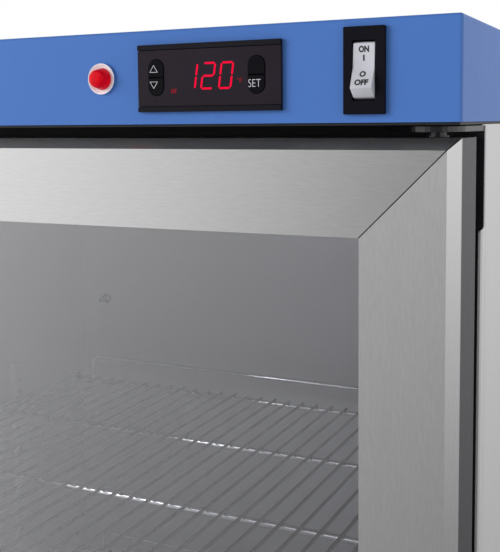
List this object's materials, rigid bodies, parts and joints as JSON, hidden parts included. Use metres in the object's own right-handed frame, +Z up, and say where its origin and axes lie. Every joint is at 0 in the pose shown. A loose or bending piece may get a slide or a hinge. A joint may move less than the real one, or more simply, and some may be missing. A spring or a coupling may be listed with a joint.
{
  "type": "blanket warming cabinet",
  "caption": "Compact insulated warming cabinet with a hinged double-glazed door, wire shelves, fan heater and a control hood on top.",
  "frame": {"origin": "centre of the cabinet's bounding box on the floor", "axes": "+Z up, -Y out of the door, +X to the right of someone facing the door"},
  "size_m": [0.603, 0.601, 0.87],
  "materials": {
    "stainless": "brushed stainless sheet",
    "satin": "satin stainless sheet",
    "galvanized": "plain zinc-coated sheet",
    "chrome": "bright plated wire",
    "blue": "blue powder coat, fine texture",
    "black_steel": "satin black coat",
    "black_plastic": "matte black",
    "charcoal": "smoked and satin charcoal",
    "white_plastic": "white",
    "red_lens": "transparent red, domed",
    "glass": "clear pane",
    "rubber": "dark grey magnetic gasket",
    "foam": "rigid insulation"
  },
  "bodies": {
    "cabinet": {"back_panel": "galvanized", "base_pan": "galvanized", "cable_gland": "black_plastic", "control_deck": "black_steel", "control_hood": "blue", "controller_bezel": "charcoal", "controller_case": "black_plastic", "controller_facia": "charcoal", "fan_frame": "black_plastic", "foam_insulation": "foam", "front_frame": "black_plastic", "heater_cover": "satin", "heater_element": "satin", "hinge_bracket_bottom": "black_steel", "hinge_bracket_top": "black_steel", "liner_back": "satin", "liner_ceiling": "satin", "liner_floor": "satin", "liner_left": "satin", "liner_right": "satin", "pilaster_left_front": "satin", "pilaster_left_rear": "satin", "pilaster_right_front": "satin", "pilaster_right_rear": "satin", "pilot_bezel": "white_plastic", "pilot_lens": "red_lens", "shelf_lower": "chrome", "shelf_lower_backstop": "chrome", "shelf_rail_lower_left": "satin", "shelf_rail_lower_right": "satin", "shelf_rail_upper_left": "satin", "shelf_rail_upper_right": "satin", "shelf_upper": "chrome", "shelf_upper_backstop": "chrome", "side_panel_left": "stainless", "side_panel_right": "stainless", "switch_bezel": "black_plastic", "temperature_probe": "black_plastic"},
    "door": {"door_rail_top": "stainless", "door_rail_bottom": "stainless", "door_stile_left": "stainless", "door_stile_right": "stainless", "door_inner_frame": "black_plastic", "glass_outer": "glass", "glass_inner": "glass", "glass_spacer": "galvanized", "door_gasket": "rubber", "door_handle": "stainless", "hinge_bush_top": "galvanized", "hinge_bush_bottom": "galvanized"},
    "rocker": {"switch_rocker": "white_plastic"},
    "key_up": {"key_up": "black_plastic"},
    "key_down": {"key_down": "black_plastic"},
    "key_blank": {"key_blank": "black_plastic"},
    "key_set": {"key_set": "black_plastic"},
    "fan": {"fan_rotor": "black_plastic"},
    "foot_front_left": {"foot_front_left": "black_plastic"},
    "foot_front_right": {"foot_front_right": "black_plastic"},
    "foot_rear_left": {"foot_rear_left": "black_plastic"},
    "foot_rear_right": {"foot_rear_right": "black_plastic"}
  },
  "joints": [
    {"name": "door_hinge", "type": "hinge", "parent": "cabinet", "child": "door", "pos_m": [0.2853, -0.2335, 0.4314], "axis": [0, 0, 1], "range_deg": [0, 110]},
    {"name": "power_rocker", "type": "hinge", "parent": "cabinet", "child": "rocker", "pos_m": [0.2574, -0.2525, 0.8464], "axis": [1, 0, 0], "range_deg": [0, 28]},
    {"name": "key_up_press", "type": "slide", "parent": "cabinet", "child": "key_up", "axis": [0, 1, 0], "range_m": [0, 0.0008], "stiffness_N_per_m": 400},
    {"name": "key_down_press", "type": "slide", "parent": "cabinet", "child": "key_down", "axis": [0, 1, 0], "range_m": [0, 0.0008], "stiffness_N_per_m": 400},
    {"name": "key_blank_press", "type": "slide", "parent": "cabinet", "child": "key_blank", "axis": [0, 1, 0], "range_m": [0, 0.0008], "stiffness_N_per_m": 400},
    {"name": "key_set_press", "type": "slide", "parent": "cabinet", "child": "key_set", "axis": [0, 1, 0], "range_m": [0, 0.0008], "stiffness_N_per_m": 400},
    {"name": "fan_spin", "type": "hinge", "parent": "cabinet", "child": "fan", "pos_m": [0, 0.1645, 0.135], "axis": [0, 1, 0], "continuous": true},
    {"name": "foot_front_left_height", "type": "slide", "parent": "cabinet", "child": "foot_front_left", "axis": [0, 0, -1], "range_m": [0, 0.015]},
    {"name": "foot_front_right_height", "type": "slide", "parent": "cabinet", "child": "foot_front_right", "axis": [0, 0, -1], "range_m": [0, 0.015]},
    {"name": "foot_rear_left_height", "type": "slide", "parent": "cabinet", "child": "foot_rear_left", "axis": [0, 0, -1], "range_m": [0, 0.015]},
    {"name": "foot_rear_right_height", "type": "slide", "parent": "cabinet", "child": "foot_rear_right", "axis": [0, 0, -1], "range_m": [0, 0.015]}
  ]
}
